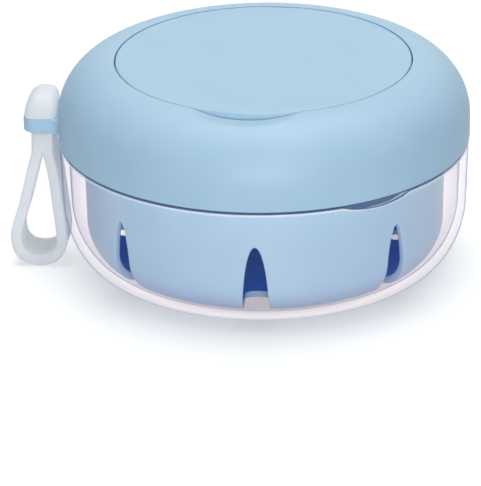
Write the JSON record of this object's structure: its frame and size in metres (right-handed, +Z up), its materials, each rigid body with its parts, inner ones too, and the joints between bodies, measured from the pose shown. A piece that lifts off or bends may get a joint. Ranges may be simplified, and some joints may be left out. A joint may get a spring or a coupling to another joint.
{
  "type": "denture case",
  "caption": "Round denture case: clear bowl, lift-out strainer basket, domed lid with flip-up mirror cover, and a silicone carrying strap.",
  "frame": {"origin": "centre of the bowl's flat underside, on the case's axis", "axes": "+Z up; the flip cover opens at -Y, its hinge is at +Y; the strap's lug points to -X"},
  "size_m": [0.112, 0.1, 0.0515],
  "materials": {
    "clear_plastic": "clear, polished",
    "basket_plastic": "moulded, satin",
    "lid_plastic": "moulded, satin",
    "silicone": "soft, matt",
    "mirror_glass": "silvered",
    "foam_pad": "adhesive foam"
  },
  "bodies": {
    "bowl_body": {"bowl": "clear_plastic"},
    "basket_body": {"basket": "basket_plastic"},
    "lid_body": {"lid_shell": "lid_plastic", "seal_ring": "silicone", "strap_head": "silicone"},
    "cover_body": {"flip_cover": "lid_plastic", "mirror_pad": "foam_pad", "mirror": "mirror_glass"},
    "strap_body": {"strap_loop": "silicone"}
  },
  "joints": [
    {"name": "basket_lift", "type": "slide", "parent": "bowl_body", "child": "basket_body", "axis": [0, 0, 1], "range_m": [0, 0.045]},
    {"name": "lid_lift", "type": "slide", "parent": "basket_body", "child": "lid_body", "axis": [0, 0, 1], "range_m": [0, 0.045]},
    {"name": "cover_hinge", "type": "hinge", "parent": "lid_body", "child": "cover_body", "pos_m": [0, 0.03529, 0.0515], "axis": [-1, 0, 0], "range_deg": [0, 115]},
    {"name": "strap_swing", "type": "hinge", "parent": "lid_body", "child": "strap_body", "pos_m": [-0.05412, -0.00288, 0.02803], "axis": [-0.0434, 0.9936, -0.1045], "range_deg": [0, 75]}
  ]
}
